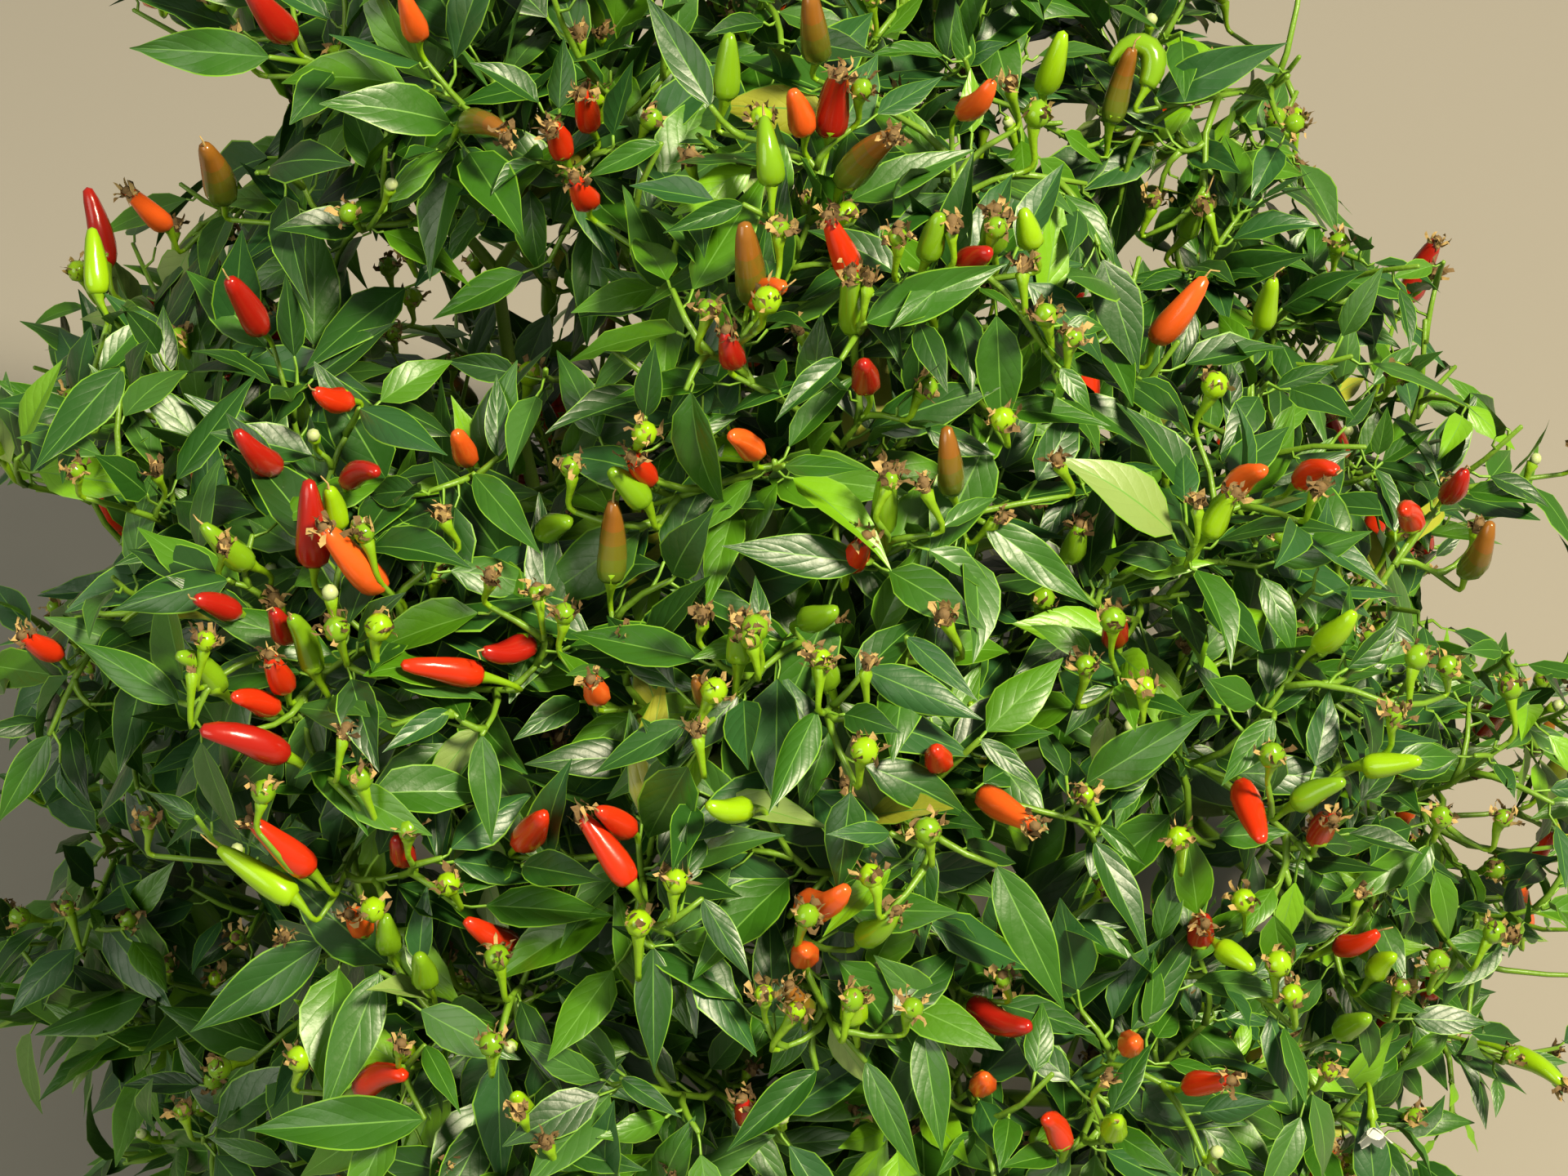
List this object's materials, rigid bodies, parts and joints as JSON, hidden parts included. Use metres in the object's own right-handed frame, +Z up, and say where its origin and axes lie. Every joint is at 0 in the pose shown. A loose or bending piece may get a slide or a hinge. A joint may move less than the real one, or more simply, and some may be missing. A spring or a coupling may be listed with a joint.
{
  "type": "chilli pepper plant",
  "caption": "Bushy chilli pepper plant in fruit: short flared trunk, forking boughs and a domed crown of leafy masses with upright pods.",
  "frame": {"origin": "middle of the flat cut under the trunk, at ground level", "axes": "+Z up along the trunk, +X to the right and +Y to the back, as the picture shows the plant"},
  "size_m": [0.5193, 0.4923, 0.4389],
  "materials": {
    "bark": "green stem skin, smooth and satin, browner at the foot",
    "foliage": "satin leaves with pale midribs and margins, and glossy fruit"
  },
  "bodies": {
    "root": {"trunk": "bark", "bough_low_1": "bark", "bough_low_2": "bark", "bough_low_3": "bark", "bough_low_4": "bark", "bough_low_5": "bark", "bough_low_6": "bark", "bough_low_7": "bark", "bough_low_8": "bark", "bough_low_9": "bark", "bough_low_10": "bark", "bough_middle_1": "bark", "bough_middle_2": "bark", "bough_middle_3": "bark", "bough_middle_4": "bark", "bough_middle_5": "bark", "bough_upper_1": "bark", "bough_upper_2": "bark", "bough_inner_1": "bark", "bough_inner_2": "bark", "bough_inner_3": "bark", "bough_high_1": "bark", "bough_high_2": "bark", "bough_top_1": "bark", "bough_top_2": "bark", "bough_centre_1": "bark", "mass_low_1": "foliage", "mass_low_2": "foliage", "mass_low_3": "foliage", "mass_low_4": "foliage", "mass_low_5": "foliage", "mass_low_6": "foliage", "mass_low_7": "foliage", "mass_low_8": "foliage", "mass_low_9": "foliage", "mass_low_10": "foliage", "mass_middle_1": "foliage", "mass_middle_2": "foliage", "mass_middle_3": "foliage", "mass_middle_4": "foliage", "mass_middle_5": "foliage", "mass_upper_1": "foliage", "mass_upper_2": "foliage", "mass_inner_1": "foliage", "mass_inner_2": "foliage", "mass_inner_3": "foliage", "mass_high_1": "foliage", "mass_high_2": "foliage", "mass_top_1": "foliage", "mass_top_2": "foliage", "mass_centre_1": "foliage"}
  },
  "joints": []
}
